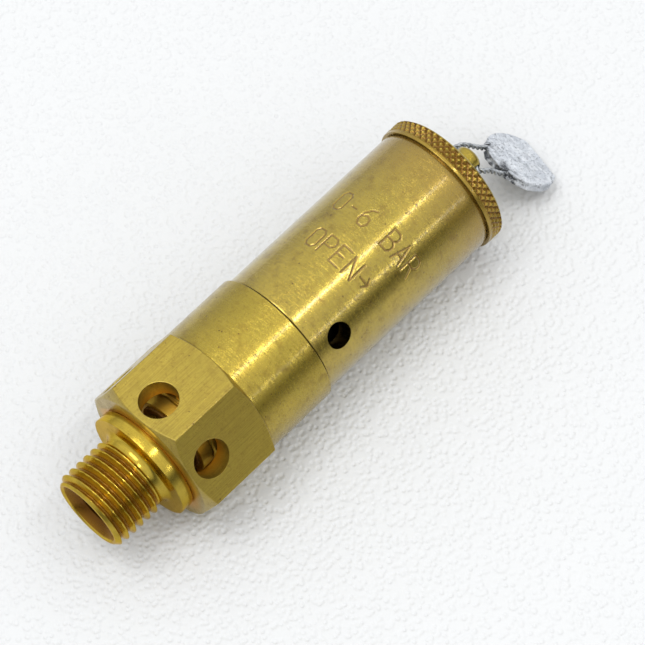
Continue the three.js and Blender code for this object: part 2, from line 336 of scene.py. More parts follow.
class Nodes:
    """A node tree whose nodes are added one at a time."""

    def __init__(self, tree):
        self.tree = tree

    def add(self, kind, inputs=(), **settings):
        made = self.tree.nodes.new("ShaderNode" + kind)
        for key, value in settings.items():
            setattr(made, key, value)
        for key, value in dict(inputs).items():
            if isinstance(value, bpy.types.NodeSocket):
                self.tree.links.new(value, made.inputs[key])
            else:
                made.inputs[key].default_value = value
        return made

    def math(self, operation, a, b=0.0, clamp=False):
        """What a Math node makes of two values."""
        return self.add("Math", {0: a, 1: b}, operation=operation, use_clamp=clamp).outputs[0]

    def spread(self, value, low, high, to_low=0.0, to_high=1.0):
        """The value smoothly mapped from low..high to to_low..to_high."""
        inputs = {"Value": value, "From Min": low, "From Max": high, "To Min": to_low, "To Max": to_high}
        return self.add("MapRange", inputs, interpolation_type="SMOOTHSTEP").outputs["Result"]


class Shader(Nodes):
    """A Principled material, which works in the valve's frame."""

    def __init__(self, name, **values):
        self.material = bpy.data.materials.new(name)
        self.material.use_nodes = True
        super().__init__(self.material.node_tree)
        self.surface = self.tree.nodes["Principled BSDF"]
        for socket, value in values.items():
            self.surface.inputs[socket.replace("_", " ")].default_value = value

    def blend(self, amount, a, b):
        """The colour a, turning to b as the amount grows."""
        return self.add("Mix", {0: amount, 6: a, 7: b}, data_type="RGBA").outputs[2]

    def noise(self, where, scale, detail=4.0, roughness=0.55, distortion=0.0):
        inputs = {"Vector": where, "Scale": scale, "Detail": detail, "Roughness": roughness,
                  "Distortion": distortion}
        return self.add("TexNoise", inputs).outputs["Fac"]

    def scaled(self, where, scale):
        return self.add("VectorMath", {0: where, 1: scale}, operation="MULTIPLY").outputs[0]

    def spot(self):
        """The point in the valve's frame, in millimetres, as (x, y, z)."""
        place = self.add("TexCoord").outputs["Object"]
        moved = self.add("VectorMath", {0: place, 1: (MOUTH, 0, AXIS_Z)}, operation="SUBTRACT").outputs[0]
        return self.scaled(moved, (1 / MM, 1 / MM, 1 / MM))

    def rolled(self, spot):
        """(station, length round the axis, radius) of a point, as on an unrolled skin."""
        parts = self.add("SeparateXYZ", {0: spot}).outputs
        angle = self.math("ARCTAN2", parts[2], parts[1])
        flat = self.add("CombineXYZ", {1: parts[1], 2: parts[2]}).outputs[0]
        radius = self.add("VectorMath", {0: flat}, operation="LENGTH").outputs["Value"]
        around = self.math("MULTIPLY", angle, SKIN_R)
        return self.add("CombineXYZ", {0: parts[0], 1: around, 2: radius}).outputs[0]

    def grime_and_shade(self):
        return self.add("Attribute", attribute_name="grime_and_shade").outputs["Fac"]

    def set(self, socket, value):
        self.tree.links.new(value, self.surface.inputs[socket])

    def bump(self, *layers):
        """Bump from (height, distance in millimetres) layers, one on another."""
        normal = None
        for height, distance in layers:
            inputs = {"Height": height, "Distance": distance * MM, "Strength": 1.0}
            if normal:
                inputs["Normal"] = normal
            normal = self.add("Bump", inputs).outputs["Normal"]
        self.set("Normal", normal)


def brass(name, light, dark, stain, rough=(0.16, 0.26), lines=(5.0, 0.25, 1.0), line_depth=0.004,
          streak=0.2, pits=0.6, tarnish=0.55, wave=0.03, metal=1.0, coat=0.35, soil_shade_and_bounce=(0.42, 0.225, 0.016),
          edge=(1.0, 1.0, 1.0), scuffs=1.0, mottle=0.35):
    """Handled brass: soft mottled tarnish, brown pits, tool lines, scuffs, and grime with painted shade and
    painted bounce light in its hollows.

    lines is how often the tool marks repeat along the axis, round it and outwards, line_depth how deep they
    are and streak how much they darken. pits, tarnish, wave and scuffs say how much of each there is, and
    mottle how uneven the gloss is. soil_shade_and_bounce is the colour of thin grime and of painted shade
    and amber bounce light, and edge the tint of what the metal mirrors at a glancing angle."""
    s = Shader(name, Coat_Weight=coat, Coat_Roughness=0.14, Specular_Tint=(*edge, 1))
    spot = s.spot()
    rolled = s.rolled(spot)
    cloud = s.noise(spot, 0.13, 4, 0.55, 0.3)
    patches = s.noise(spot, 0.5, 5, 0.6)
    freckles = s.noise(spot, 2.2, 4, 0.65)
    tool = s.noise(s.scaled(rolled, lines), 1.0, 3, 0.6)
    scuff = s.noise(s.scaled(rolled, (3.2, 0.5, 1.0)), 1.3, 4, 0.75, 1.2)
    fine = s.noise(spot, 9.0, 3, 0.6)
    colour = s.blend(s.spread(cloud, 0.3, 0.7), light, dark)
    colour = s.blend(s.math("MULTIPLY", s.spread(patches, 0.45, 0.85), tarnish), colour, stain)
    colour = s.blend(s.math("MULTIPLY", s.spread(freckles, 0.5, 0.74), 0.6 * pits), colour, stain)
    colour = s.blend(s.math("MULTIPLY", s.spread(tool, 0.35, 0.7), streak), colour, stain)
    cells = s.add("TexVoronoi", {"Vector": spot, "Scale": 0.75, "Randomness": 1.0}).outputs["Distance"]
    dots = s.math("MULTIPLY", s.spread(cells, 0.13, 0.05), s.spread(patches, 0.46, 0.56))
    colour = s.blend(s.math("MULTIPLY", dots, pits), colour, PIT)
    # Grime and painted light: the soil colour paints thin grime, painted shade and amber bounce light; the
    # darkest colour paints old grime and deep painted shade.
    grime_and_shade = s.grime_and_shade()
    colour = s.blend(s.spread(grime_and_shade, 0.0, 0.7), colour, (*soil_shade_and_bounce, 1))
    colour = s.blend(s.spread(grime_and_shade, 0.6, 1.0), colour, DEEP_GRIME_AND_SHADE)
    s.set("Base Color", colour)
    s.set("Metallic", s.spread(grime_and_shade, 0.0, 0.5, metal, 0.8 * metal))
    mixed = s.math("ADD", s.math("MULTIPLY", cloud, 0.5), s.math("MULTIPLY", patches, 0.5))
    smudge = s.spread(mixed, 0.36, 0.64, rough[0], rough[1])
    worn = s.math("ADD", smudge, s.math("MULTIPLY", s.math("SUBTRACT", tool, 0.5), 0.12))
    worn = s.math("ADD", worn, s.math("MULTIPLY", s.math("SUBTRACT", freckles, 0.5), mottle))
    s.set("Roughness", s.math("ADD", worn, s.math("MULTIPLY", grime_and_shade, 0.1), clamp=True))
    scratched, holes = s.spread(scuff, 0.5, 0.7), s.math("SUBTRACT", 1.0, dots)
    s.bump((tool, line_depth), (scratched, 0.012 * scuffs), (holes, 0.02 * pits), (freckles, 0.13 * wave),
           (fine, 0.0018), (cloud, wave))
    return s.material


def steel(name, light, dark, rough=(0.22, 0.4), lines=(6.0, 0.3, 1.0), metal=1.0):
    """Bright or plated steel with tool lines and a little dull staining."""
    s = Shader(name, Metallic=metal)
    spot = s.spot()
    tool = s.noise(s.scaled(s.rolled(spot), lines), 1.0, 3, 0.6)
    stain = s.noise(spot, 0.7, 6, 0.65)
    s.set("Base Color", s.blend(s.spread(stain, 0.4, 0.7), light, dark))
    s.set("Roughness", s.spread(s.math("ADD", s.math("MULTIPLY", tool, 0.4), s.math("MULTIPLY", stain, 0.6)),
                                0.35, 0.65, rough[0], rough[1]))
    s.bump((tool, 0.004), (stain, 0.01))
    return s.material


def soft(name, light, dark, rough, grain, depth, shine=0.5):
    """A plain moulded or pressed stuff that isn't metal, with a grain."""
    s = Shader(name, Specular_IOR_Level=shine)
    spot = s.spot()
    cloud, fine = s.noise(spot, grain * 0.25, 5, 0.6), s.noise(spot, grain, 4, 0.6)
    s.set("Base Color", s.blend(s.spread(cloud, 0.35, 0.7), light, dark))
    s.set("Roughness", s.spread(fine, 0.3, 0.7, rough - 0.08, rough + 0.08))
    s.bump((fine, depth), (cloud, depth * 2))
    return s.material


def dull_lead():
    """Weathered lead: pale oxide over darker metal, with pits, dents and scuffs."""
    s = Shader("lead", Metallic=0.15)
    spot = s.spot()
    cloud = s.noise(spot, 0.5, 6, 0.65, 0.5)
    dents = s.noise(spot, 1.1, 5, 0.6)
    pits = s.noise(spot, 3.4, 5, 0.7)
    grain = s.noise(spot, 11.0, 3, 0.6)
    crease = s.noise(s.scaled(spot, (1.0, 0.35, 1.0)), 1.7, 5, 0.7, 1.0)
    colour = s.blend(s.spread(cloud, 0.35, 0.7), LEAD, LEAD_GREY)
    colour = s.blend(s.math("MULTIPLY", s.spread(crease, 0.57, 0.65), 0.7), colour, LEAD_CREASE)
    colour = s.blend(s.math("MULTIPLY", s.spread(pits, 0.56, 0.66), 0.85), colour, LEAD_PIT)
    colour = s.blend(s.math("MULTIPLY", s.spread(dents, 0.54, 0.66), 0.7), colour, LEAD_WORN)
    # Near black on the torn rim, as dirt, and over the side, underside and round the wire holes, as painted
    # shade.
    dirt_and_shade = s.math("MULTIPLY", s.grime_and_shade(), s.spread(pits, 0.3, 0.6, 0.55, 1.3), clamp=True)
    colour = s.blend(dirt_and_shade, colour, LEAD_DIRT_AND_SHADE)
    s.set("Base Color", colour)
    s.set("Roughness", s.spread(cloud, 0.35, 0.7, 0.42, 0.6))
    s.bump((dents, 0.3), (s.spread(pits, 0.54, 0.72, 1, 0), 0.16), (s.spread(crease, 0.55, 0.68, 1, 0), 0.1),
           (grain, 0.03))
    return s.material


def make_materials():
    bright = (0.56, 0.4, 0.05, 1)
    gold, olive, brown = (0.445, 0.328, 0.046, 1), (0.385, 0.29, 0.04, 1), (0.21, 0.13, 0.018, 1)
    amber, rust = (0.5, 0.3, 0.04, 1), (0.28, 0.13, 0.02, 1)
    grey, dark = (0.62, 0.62, 0.6, 1), (0.36, 0.35, 0.33, 1)
    zinc, grey_zinc = (0.66, 0.67, 0.68, 1), (0.45, 0.45, 0.42, 1)
    # The spring steel is near black: blued steel, darkened further as painted shade inside the housing.
    blued_and_shaded, black_and_shaded = (0.07, 0.06, 0.05, 1), (0.035, 0.03, 0.025, 1)
    galvanised, weathered = (0.42, 0.44, 0.46, 1), (0.13, 0.14, 0.15, 1)
    elastomer, dark_elastomer = (0.17, 0.085, 0.02, 1), (0.1, 0.05, 0.014, 1)
    ptfe, soiled_ptfe = (0.78, 0.77, 0.72, 1), (0.68, 0.66, 0.6, 1)
    return {
        "sleeve": brass("brushed brass", gold, olive, brown, rough=(0.17, 0.27), lines=(4.0, 0.2, 1.0),
                        line_depth=0.007, pits=0.9, tarnish=0.85, coat=0.75, soil_shade_and_bounce=(0.26, 0.155, 0.02)),
        "shoulder": brass("shoulder brass", gold, olive, brown, rough=(0.22, 0.33), lines=(4.0, 0.2, 1.0),
                          line_depth=0.006, pits=1.0, tarnish=0.75),
        # The drawn hex's soil colour is a bright orange: painted amber light bounced inside the outlet
        # holes, with their grime.
        "hex": brass("drawn brass", gold, olive, brown, rough=(0.32, 0.44), lines=(0.15, 7.0, 7.0),
                     line_depth=0.011, streak=0.5, pits=1.0, tarnish=0.5, wave=0.006, metal=0.85,
                     soil_shade_and_bounce=(0.72, 0.34, 0.018)),
        "turned": brass("turned brass", bright, gold, brown, rough=(0.15, 0.23), lines=(6.0, 0.15, 1.0),
                        line_depth=0.002, pits=0.4, wave=0.015, coat=0.1, edge=(0.95, 0.76, 0.42),
                        scuffs=0.15, mottle=0.12),
        # A duller, amber copy of brass for the parts inside the chamber and the housing: painted shade and
        # bounce light, with rust stains.
        "inner": brass("inner brass", amber, gold, rust, rough=(0.34, 0.44), lines=(5.0, 0.2, 5.0),
                       streak=0.1, pits=0.3, tarnish=0.2, metal=0.8, coat=0.0, edge=(0.95, 0.72, 0.36)),
        "knurl": brass("knurled brass", gold, olive, brown, rough=(0.15, 0.25), lines=(3.0, 0.4, 1.0),
                       soil_shade_and_bounce=(0.28, 0.155, 0.018)),
        "steel": steel("bright steel", grey, dark),
        "zinc": steel("zinc steel", zinc, grey_zinc, rough=(0.3, 0.5)),
        "spring": steel("spring steel", blued_and_shaded, black_and_shaded, rough=(0.35, 0.5), lines=(3.0, 3.0, 3.0)),
        "wire": steel("galvanised wire", galvanised, weathered, rough=(0.3, 0.5), lines=(4.0, 4.0, 4.0),
                      metal=0.8),
        "lead": dull_lead(),
        "seat": soft("brown elastomer", elastomer, dark_elastomer, rough=0.8, grain=6.0, depth=0.006,
                     shine=0.0),
        "ptfe": soft("white ptfe", ptfe, soiled_ptfe, rough=0.42, grain=4.0, depth=0.004),
    }


# -------------------- inlet nipple: thread, relief, collar, seat
def thread_relief(stations, radii, angles):
    """Right-hand 60 degree thread with a bevelled first turn, running out into the relief."""
    phase = ((stations + 0.5 - PITCH * (angles / (2 * math.pi) - 1 / 3)) / PITCH) % 1
    crest, flank = 0.05, 0.38  # half the crest and one flank, as shares of the pitch
    wave = np.clip((crest + flank - np.abs(phase - 0.5)) / flank, 0, 1)
    wave = wave * (1 - 0.12 * np.sin(math.pi * wave))
    fade = smooth_step(THREAD_END + 0.1, THREAD_END - 0.7, stations)
    cut = THREAD_ROOT + (THREAD_R - THREAD_ROOT) * wave * fade + (RELIEF_R - THREAD_ROOT) * (1 - fade)
    cut = np.minimum(cut, THREAD_ROOT + 0.02 + stations * 1.0)
    threaded = (radii > THREAD_ROOT - 0.01) & (stations < THREAD_END + 0.05) & (stations > 0.01)
    # Painted light between the turns: amber bounce light on the flanks and painted shade in the valleys; the
    # first turn stays clean.
    flanks, valleys = smooth_step(0.8, 0.45, wave), smooth_step(0.34, 0.05, wave)
    grime_and_shade = np.where(threaded, (0.24 * flanks + 0.64 * valleys) * fade, 0)
    grime_and_shade *= smooth_step(0.0, 0.8, stations)
    # Painted shade in the groove behind the collar, over the nozzle in the chamber and down the bore; the
    # mouth's end face is a little darker.
    groove = (stations > COLLAR_1 - 0.02) & (stations < HEX_0)
    inside = (radii < MOUTH_R - 0.19) & (stations < SEAT_X - 1)
    face = (stations < 0.06) & (radii < THREAD_ROOT - 0.02) & ~inside
    grime_and_shade = np.where(groove, 0.7, grime_and_shade)
    grime_and_shade = np.where(stations > CHAMBER_0, 0.4, grime_and_shade)
    grime_and_shade = np.where(inside, 0.86 + 0.14 * smooth_step(MOUTH_R - 0.4, BORE_R + 0.6, radii), grime_and_shade)
    grime_and_shade = np.where(face, 0.34, grime_and_shade)
    return np.where(threaded, cut, radii), grime_and_shade


def inlet_nipple(materials):
    rows = int(THREAD_END / THREAD_ROW)
    thread = [(0.02 + THREAD_END * k / rows, THREAD_ROOT) for k in range(rows + 1)]
    fillet = arc(COLLAR_0 - FILLET, RELIEF_R + FILLET, FILLET, -90, 0, 8)
    collar = eased([(COLLAR_0, COLLAR_R - 0.6), (COLLAR_0, COLLAR_R), (COLLAR_1, COLLAR_R),
                    (COLLAR_1, COLLAR_R - 0.3)], 0.03)[4:-4]
    outline = [
        (COUNTERSINK, BORE_R), (0.34, MOUTH_R - 0.2), (0.22, MOUTH_R - 0.14), (0.07, MOUTH_R + 0.02),
        (0.0, MOUTH_R + 0.16), (0.0, THREAD_ROOT - 0.14), (0.01, THREAD_ROOT - 0.06), *thread,
        (THREAD_END + 0.1, RELIEF_R), *fillet, (COLLAR_0, COLLAR_R - 0.3), *collar,
        (COLLAR_1, GROOVE_R + 0.1), (COLLAR_1 + 0.1, GROOVE_R), (CHAMBER_0, GROOVE_R - 0.1),
        (CHAMBER_0, SEAT_BASE + 0.3), (CHAMBER_0 + 0.3, SEAT_BASE), (SEAT_X - 0.6, SEAT_R + 0.25),
        (SEAT_X - 0.08, SEAT_R), (SEAT_X, SEAT_R - 0.08), (SEAT_X, BORE_R + 0.12), (SEAT_X - 0.12, BORE_R),
    ]
    made = turned("inlet_nipple", outline, 180, 0, thread_relief)
    return finish_piece(made, "valve", ["valve_body"], materials["turned"], False, 40)


# -------------------- hexagon, outlets and shoulder
def hex_body(materials):
    work = bmesh.new()
    corners = [(CORNER * math.cos(turn(60 * k)), CORNER * math.sin(turn(60 * k))) for k in range(6)]
    face = work.faces.new([work.verts.new((HEX_0, y, z)) for y, z in corners])
    grown = bmesh.ops.extrude_face_region(work, geom=[face])["geom"]
    moved = [v for v in grown if isinstance(v, bmesh.types.BMVert)]
    bmesh.ops.translate(work, verts=moved, vec=(HEX_1 - HEX_0, 0, 0))
    bmesh.ops.recalc_face_normals(work, faces=work.faces)
    prism = link("hex_body", as_mesh(work, "hex_body"))

    meets = APOTHEM - 0.15  # radius where the chamfer meets the end faces
    slope = math.tan(turn(30))
    past, clear = 0.5, CORNER + 0.3  # how far the blank stands past the ends, and its radius
    rise, low = (clear - meets) * slope, meets - past / slope
    blank = turned("blank", [
        (HEX_0 - past, 0), (HEX_0 - past, low), (HEX_0 + rise, clear), (HEX_1 - rise, clear),
        (HEX_1 + past, low), (HEX_1 + past, 0),
    ], 180)
    combine(prism, [blank], "INTERSECT")
    inside = turned("inside", [
        (HEX_0 - 1, 0), (HEX_0 - 1, GROOVE_R), (CHAMBER_0, GROOVE_R), (CHAMBER_0, CHAMBER_R),
        (CHAMBER_1, CHAMBER_R), (CHAMBER_1, SOCKET_R), (HEX_1 + 1, SOCKET_R), (HEX_1 + 1, 0),
    ], 144)
    ways = [30 + 360 * k / OUTLETS for k in range(OUTLETS)]
    combine(prism, [inside, *[drill(OUTLET_X, OUTLET_R, way, CHAMBER_R - 2, CORNER + 2) for way in ways]])
    bevelled(prism, 0.16)
    # Painted shade and bounce light: points below the flats, on the end faces, in the outlet holes and in
    # the bore, grow darker and more orange.
    depths = [APOTHEM - math.hypot(v.co.y, v.co.z) for v in prism.data.vertices]
    set_grime_and_shade(prism.data, [0.56 * clamped((depth - 0.2) / 0.6) for depth in depths])
    return finish_piece(prism, "valve", ["valve_body"], materials["hex"])


def outlet_shoulder(materials):
    made = turned("outlet_shoulder", [
        (HEX_1 - 0.1, APOTHEM), (SHOULDER_END, APOTHEM), (SHOULDER_END, SOCKET_R), (HEX_1 - 0.1, SOCKET_R),
    ], 192, 0.12)
    return finish_piece(made, "valve", ["valve_body"], materials["shoulder"])


# -------------------- spring housing with its stamped marks
# Plain strokes on a grid 4 wide and 6 high: a pressure range, and a word with an arrow for the way to turn.
LOOP = [[(1, 0), (3, 0), (4, 1), (4, 5), (3, 6), (1, 6), (0, 5), (0, 1), (1, 0)]]
STROKES = {
    "0": LOOP,
    "6": [[(3.6, 6), (2, 5.4), (0.4, 3.6), (0, 1.4), (1, 0), (3, 0), (4, 1.2), (3.6, 2.8), (2, 3.4),
           (0.5, 2.6)]],
    "-": [[(1, 3), (3, 3)]],
    "A": [[(0, 0), (2, 6), (4, 0)], [(0.8, 2.2), (3.2, 2.2)]],
    "B": [[(0, 0), (0, 6), (2.8, 6), (3.8, 5.2), (3.8, 4), (2.8, 3.2), (0, 3.2)],
          [(2.8, 3.2), (4, 2.3), (4, 0.9), (3, 0), (0, 0)]],
    "E": [[(4, 0), (0, 0), (0, 6), (4, 6)], [(0, 3.1), (3, 3.1)]],
    "N": [[(0, 0), (0, 6), (4, 0), (4, 6)]],
    "O": LOOP,
    "P": [[(0, 0), (0, 6), (3, 6), (4, 5), (4, 3.9), (3, 2.9), (0, 2.9)]],
    "R": [[(0, 0), (0, 6), (3, 6), (4, 5), (4, 4), (3, 3), (0, 3)], [(2, 3), (4, 0)]],
    ">": [[(0, 3), (4, 3)], [(2.6, 4.6), (4, 3), (2.6, 1.4)]],
}
STAMP_UNIT = 0.6  # height of one grid step along the axis
STAMP_WIDE = 0.47  # width of one grid step round the housing
STAMP_STEP = turn(13.6)  # angle from one letter to the next
STAMP_ROWS = [("0-6 BAR", 60.3, turn(63)), ("OPEN>", 52.6, turn(72))]
STAMP_WIDTH, STAMP_DEPTH = 0.24, 0.12  # of one stroke
STAMPED = turn(58), turn(164)  # the side that carries the marks, which has a fine mesh


def stamp_lines():
    """Every stroke as (start, end) in (station, length round the housing)."""
    lines = []
    for words, baseline, start in STAMP_ROWS:
        for k, letter in enumerate(words):
            left = (start + k * STAMP_STEP) * HOUSING_R
            for stroke in STROKES.get(letter, []):
                spots = [(baseline + v * STAMP_UNIT, left + u * STAMP_WIDE) for u, v in stroke]
                lines += list(zip(spots[:-1], spots[1:], strict=True))
    return lines


def stamp_relief(stations, radii, angles):
    """Stamped strokes: a round groove with a slightly raised lip. Painted shade darkens the skin towards the
    cap and in the bore.
    """
    lengths = angles * HOUSING_R
    gap = np.full(radii.shape, 9.0)
    for (x0, u0), (x1, u1) in stamp_lines():
        dx, du = x1 - x0, u1 - u0
        t = np.clip(((stations - x0) * dx + (lengths - u0) * du) / (dx * dx + du * du), 0, 1)
        gap = np.minimum(gap, np.hypot(stations - x0 - t * dx, lengths - u0 - t * du))
    groove = smooth_step(STAMP_WIDTH, 0.02, gap)
    lip = np.exp(-((gap - STAMP_WIDTH - 0.06) / 0.09) ** 2) * 0.012
    outside = radii > HOUSING_R - 0.02
    # Painted shade: the skin darkens towards the cap, and the bore is dark; the strokes hold grime.
    cap_end_shade = 0.42 * smooth_step(VENT_X + 14, HOUSING_1 - 1, stations)
    bore = radii < HOUSING_BORE + 0.2
    grime_and_shade = np.where(outside, np.maximum(0.78 * groove, cap_end_shade), np.where(bore, 0.85, 0.3))
    return np.where(outside, radii - STAMP_DEPTH * groove + lip, radii), grime_and_shade


def spring_housing(materials):
    fine_x = np.arange(STAMP_ROWS[1][1] - 0.7, STAMP_ROWS[0][1] + 6 * STAMP_UNIT + 0.7, 0.09)
    skin = [(x, HOUSING_R) for x in fine_x]
    fine_a = np.arange(*STAMPED, turn(0.42))
    coarse_a = np.linspace(STAMPED[1], turn(58 + 360), 120, endpoint=False)
    outline = [
        (SPIGOT_0, HOUSING_BORE), (SPIGOT_0, SPIGOT_R), (HOUSING_0, SPIGOT_R), (HOUSING_0, HOUSING_R - 0.3),
        (HOUSING_0, HOUSING_R - 0.13), (HOUSING_0 + 0.04, HOUSING_R - 0.04), (HOUSING_0 + 0.13, HOUSING_R),
        (HOUSING_0 + 0.4, HOUSING_R), (VENT_X, HOUSING_R), *skin, (HOUSING_1 - 1, HOUSING_R),
        (HOUSING_1 - 0.12, HOUSING_R), (HOUSING_1 - 0.04, HOUSING_R - 0.04), (HOUSING_1, HOUSING_R - 0.12),
        (HOUSING_1, HOUSING_R - 0.4), (HOUSING_1, HOUSING_BORE + 0.15), (HOUSING_1 - 0.15, HOUSING_BORE),
    ]
    made = turned("spring_housing_skin", outline, np.concatenate([fine_a, coarse_a]), 0, stamp_relief)
    combine(made, [drill(VENT_X, VENT_R, VENT_ANGLE, HOUSING_BORE - 2, HOUSING_R + 2)])
    return finish_piece(made, "valve", ["spring_housing"], materials["sleeve"], True, 40)


# -------------------- spring train inside the housing
def spring(materials):
    """A compression spring in two halves.

    Both halves stay fixed where they are built and hang from no body."""
    x0, x1, outer = reach("spring")
    wire, turns = 0.85, 7
    middle, start, end = outer - wire, x0 + wire, x1 - wire
    steps = turns * 48
    half = 0.5 * (x0 + x1)
    route = []
    for k in range(steps + 1):
        a = 2 * math.pi * turns * k / steps
        route.append((start + (end - start) * k / steps, middle * math.cos(a), middle * math.sin(a)))
    halves = (
        ("coil_spring_front", route[:steps // 2 + 1], ("stem", x0, "lifter", half)),
        ("coil_spring_rear", route[steps // 2:], ("lifter", half, "valve", x1)),
    )
    for name, part, bodies in halves:
        made = tube(name, [part], wire, 16)
        finish_piece(made, bodies, ["spring"], materials["spring"], False, 50)


def slotted(name, x0, x1, inner, slot_x, slot_wide):
    """A ring in the housing's thread, with fine thread marks on its rim and a slot across one face."""
    outer, lead_in, step, mark = HOUSING_BORE - 0.06, 0.5, 0.25, 0.09
    turns = int((x1 - x0 - 2 * lead_in) / step)
    rim = [(x0 + lead_in + step * k, outer - (mark if k % 2 else 0.0)) for k in range(turns + 1)]
    made = turned(name, [(x0, inner), (x0, outer - lead_in), *rim, (x1, outer - lead_in), (x1, inner)], 128)
    combine(made, [block(slot_x, (SLOT_DEEP, 2 * outer + 2, slot_wide))])
    return bevelled(made, 0.05, 1, 50)


def inside_pieces(materials):
    m = materials
    x0, x1, r = reach("guide_plate")
    plate = turned("guide_plate_ring", [
        (x0, SPINDLE_R + 0.06), (x0, r - 0.02), (x1, r - 0.02), (x1, 4.4), (x1 - 0.5, 3.9),
        (x1 - 0.5, SPINDLE_R + 0.06),
    ], 128, 0.12)
    finish_piece(plate, "valve", ["guide_plate"], m["inner"])
    ring("gasket_ring", "housing_gasket", HOUSING_BORE + 0.2, "valve", "white_ptfe", m["ptfe"], 128, 0.15)
    x0, x1, r = reach("upper_spring_plate")
    upper = turned("upper_plate", [
        (x0, NECK_R + 0.1), (x0, SPRING_SPIGOT), (x0 + 1.85, SPRING_SPIGOT), (x0 + 1.85, r), (x1, r),
        (x1, 4.5), (x1 - 0.25, 4.2), (x1 - 0.25, NECK_R + 0.1),
    ], 128, 0.18)
    finish_piece(upper, "valve", ["upper_spring_plate"], m["zinc"])
    ring("thrust_ring", "thrust_washer", 1.62, "valve", "bright_steel", m["steel"])
    screw = slotted("pressure_screw", SCREW_0, SCREW_1, 3.1, SCREW_1 - 0.4, 1.6)
    finish_piece(screw, "valve", ["adjusting_screw"], m["turned"], True, 40)
    ring("bush_sleeve", "guide_bush", 1.56, "valve", "white_ptfe", m["ptfe"], ease=0.15)
    nut = slotted("locking_ring", LOCK_0, LOCK_1, 3.6, LOCK_1 - 0.4, 1.8)
    finish_piece(nut, "valve", ["lock_nut"], m["turned"], True, 40)
    ring("clip_ring", "spring_clip", SPINDLE_R + 0.05, "stem", "spring_steel", m["spring"], ease=0.2)
    x0, x1, r = reach("lower_spring_plate")
    lower = turned("lower_plate", [
        (x0, SPINDLE_R + 0.05), (x0, r), (x0 + 2.6, r), (x0 + 2.6, SPRING_SPIGOT), (x1, SPRING_SPIGOT),
        (x1, SPINDLE_R + 0.05),
    ], 128, 0.18)
    finish_piece(lower, "stem", ["lower_spring_plate"], m["zinc"])


# -------------------- moving stem: spindle, disc and cap nut
def stem_pieces(materials):
    m = materials
    x0, x1, _ = reach("spindle")
    spindle = turned("spindle_rod", [
        (x0, 0), (x0, SPINDLE_R), (SPINDLE_STEP, SPINDLE_R), (SPINDLE_STEP + 0.5, NECK_R), (x1, NECK_R),
        (x1, 0),
    ], 64, 0.2)
    combine(spindle, [drill(PIN_X, PIN_HOLE, 0, -4, 4, 32), drill(WIRE_X, WIRE_HOLE, 0, -4, 4, 32)])
    finish_piece(spindle, "stem", ["spindle"], m["steel"])
    x0, x1, r = reach("disc_holder")
    holder = turned("valve_disc", [
        (x0, 0), (x0, r), (x0 + 2.2, r), (x0 + 2.5, r - 0.35), (x0 + 2.8, r), (x1 - 0.9, r), (x1 - 0.9, 3.9),
        (x1, 3.9), (x1, 0),
    ], 144, 0.16)
    recess = rod("recess", x0 - 2, SEAT_X + 1.6, RECESS_R, 96)
    socket = rod("socket", SOCKET_X, x1 + 3, SPINDLE_R + 0.05, 48)
    screw_hole = rod("screw_hole", 15, 21, SCREW_HOLE_R)
    combine(holder, [recess, socket, screw_hole, drill(PIN_X, PIN_HOLE, 0, -9, 9, 32)])
    finish_piece(holder, "stem", ["disc_holder"], m["inner"], True, 40)
    ring("soft_disc", "seat_disc", 1.3, "stem", "elastomer", m["seat"])
    ring("disc_washer", "retaining_washer", 1.0, "stem", "turned_brass", m["inner"])
    x0, x1, r = reach("retaining_screw")
    screw = turned("disc_screw", [
        (x0, 0), (x0, r - 0.4), (x0 + 0.3, r), (x0 + 1.6, r), (x0 + 1.6, 0.85), (x1, 0.85), (x1, 0),
    ], 64, 0.12)
    combine(screw, [block(x0, (1.0, 6.0, 0.55))])
    finish_piece(screw, "stem", ["retaining_screw"], m["steel"])
    pin = rod("drive_pin", -PIN_REACH, PIN_REACH, PIN_R, 32, 0.12)
    pin.data.transform(Matrix.Translation((PIN_X, 0, 0)) @ Matrix.Rotation(turn(90), 4, "Z"))
    finish_piece(pin, "stem", ["spindle_pin"], m["steel"])
    dome = [(NUT_1 - 1.0 + 1.0 * math.sin(t), NUT_R * (0.42 + 0.58 * math.cos(t)))
            for t in (turn(90 * k / 8) for k in range(9))]
    nut = turned("cap_nut_dome", [
        (NUT_0, NECK_R + 0.05), (NUT_0, NUT_FLANGE - 0.12), (NUT_0 + 0.12, NUT_FLANGE),
        (NUT_0 + 0.75, NUT_FLANGE), (NUT_0 + 0.9, NUT_FLANGE - 0.14), (NUT_0 + 0.95, NUT_R + 0.12),
        (NUT_0 + 1.1, NUT_R), *dome, (NUT_1 + 0.03, 0.5), (NUT_1 + 0.03, 0.02),
        (NUT_BORE_END, 0.02), (NUT_BORE_END, NECK_R + 0.05),
    ], 96)
    combine(nut, [drill(WIRE_X, WIRE_HOLE, 0, -4, 4, 40)])
    finish_piece(nut, "stem", ["cap_nut"], m["knurl"], True, 40)


# -------------------- lifting cap
def knurl_relief(stations, radii, angles):
    """Diamond knurl: pyramids between two families of slanted grooves."""
    along = (stations - KNURL_0) / KNURL_PITCH
    around = KNURL_COUNT * angles / (2 * math.pi)
    slopes = [np.abs((around + way * along) % 1 - 0.5) * 2 for way in (1, -1)]
    low = np.clip((np.maximum(*slopes) - 0.2) / 0.8, 0, 1)
    rising = smooth_step(KNURL_0 - 0.02, KNURL_0 + 0.12, stations)
    falling = smooth_step(KNURL_1 + 0.04, KNURL_1 - 0.1, stations)
    cut = radii - KNURL_DEPTH * low * (rising * falling)
    band = (radii > CAP_R - 0.02) & (stations > KNURL_0 - 0.05) & (stations < KNURL_1 + 0.1)
    rest = np.where(stations < CAP_1 - 0.5, np.where(radii < CAP_R - 0.8, 0.5, 0.36), 0.12)
    return np.where(band, cut, radii), np.where(band, 0.2 + 0.75 * low ** 1.5, rest)


